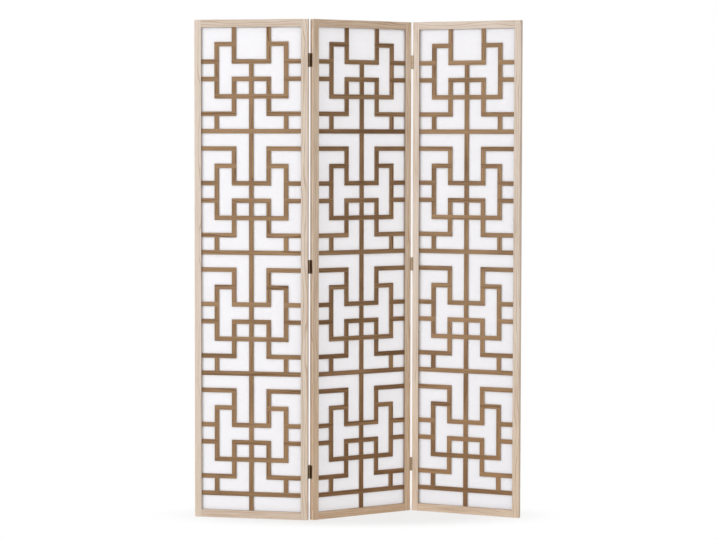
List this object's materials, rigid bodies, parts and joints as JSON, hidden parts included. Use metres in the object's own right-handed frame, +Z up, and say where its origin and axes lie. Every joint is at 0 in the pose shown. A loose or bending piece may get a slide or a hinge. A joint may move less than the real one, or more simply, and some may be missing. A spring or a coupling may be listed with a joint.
{
  "type": "shoji folding screen",
  "caption": "Free-standing folding screen of hinged wooden frames, each holding a geometric strip lattice over translucent paper; it divides a room and folds flat.",
  "frame": {"origin": "on the floor, at the middle of the plan's bounding box as the screen stands in the picture", "axes": "+Z up, the front faces -Y, +X to the right as seen from the front"},
  "size_m": [1.1756, 0.2388, 1.79],
  "materials": {
    "frame_wood": "pale softwood, fine grain, satin",
    "lattice_wood": "brown stained thin laths, matt",
    "dowel_wood": "plain beech pegs",
    "paper": "translucent fibre paper, matt",
    "hinge_metal": "aged brass, satin",
    "screw_metal": "aged brass, slotted heads"
  },
  "bodies": {
    "middle_panel": {"left_low_hinge_outer_leaf": "hinge_metal", "left_low_hinge_pin": "hinge_metal", "left_middle_hinge_outer_leaf": "hinge_metal", "left_middle_hinge_pin": "hinge_metal", "left_top_hinge_outer_leaf": "hinge_metal", "left_top_hinge_pin": "hinge_metal", "middle_panel_back_crossbars": "lattice_wood", "middle_panel_back_uprights": "lattice_wood", "middle_panel_bottom_rail": "frame_wood", "middle_panel_corner_dowels": "dowel_wood", "middle_panel_front_crossbars": "lattice_wood", "middle_panel_front_uprights": "lattice_wood", "middle_panel_left_hinge_screws": "screw_metal", "middle_panel_left_stile": "frame_wood", "middle_panel_paper": "paper", "middle_panel_right_hinge_screws": "screw_metal", "middle_panel_right_stile": "frame_wood", "middle_panel_top_rail": "frame_wood", "right_low_hinge_outer_leaf": "hinge_metal", "right_low_hinge_pin": "hinge_metal", "right_middle_hinge_outer_leaf": "hinge_metal", "right_middle_hinge_pin": "hinge_metal", "right_top_hinge_outer_leaf": "hinge_metal", "right_top_hinge_pin": "hinge_metal"},
    "left_panel": {"left_low_hinge_inner_leaf": "hinge_metal", "left_middle_hinge_inner_leaf": "hinge_metal", "left_panel_back_crossbars": "lattice_wood", "left_panel_back_uprights": "lattice_wood", "left_panel_bottom_rail": "frame_wood", "left_panel_corner_dowels": "dowel_wood", "left_panel_front_crossbars": "lattice_wood", "left_panel_front_uprights": "lattice_wood", "left_panel_hinge_screws": "screw_metal", "left_panel_left_stile": "frame_wood", "left_panel_paper": "paper", "left_panel_right_stile": "frame_wood", "left_panel_top_rail": "frame_wood", "left_top_hinge_inner_leaf": "hinge_metal"},
    "right_panel": {"right_low_hinge_inner_leaf": "hinge_metal", "right_middle_hinge_inner_leaf": "hinge_metal", "right_panel_back_crossbars": "lattice_wood", "right_panel_back_uprights": "lattice_wood", "right_panel_bottom_rail": "frame_wood", "right_panel_corner_dowels": "dowel_wood", "right_panel_front_crossbars": "lattice_wood", "right_panel_front_uprights": "lattice_wood", "right_panel_hinge_screws": "screw_metal", "right_panel_left_stile": "frame_wood", "right_panel_paper": "paper", "right_panel_right_stile": "frame_wood", "right_panel_top_rail": "frame_wood", "right_top_hinge_inner_leaf": "hinge_metal"}
  },
  "joints": [
    {"name": "left_fold", "type": "hinge", "parent": "middle_panel", "child": "left_panel", "pos_m": [-0.17363, -0.09801, 0.9085], "axis": [0, 0, -1], "range_deg": [-42.4, 137.6]},
    {"name": "right_fold", "type": "hinge", "parent": "middle_panel", "child": "right_panel", "pos_m": [0.19655, 0.09991, 0.9085], "axis": [0, 0, -1], "range_deg": [-55.2, 124.8]}
  ]
}
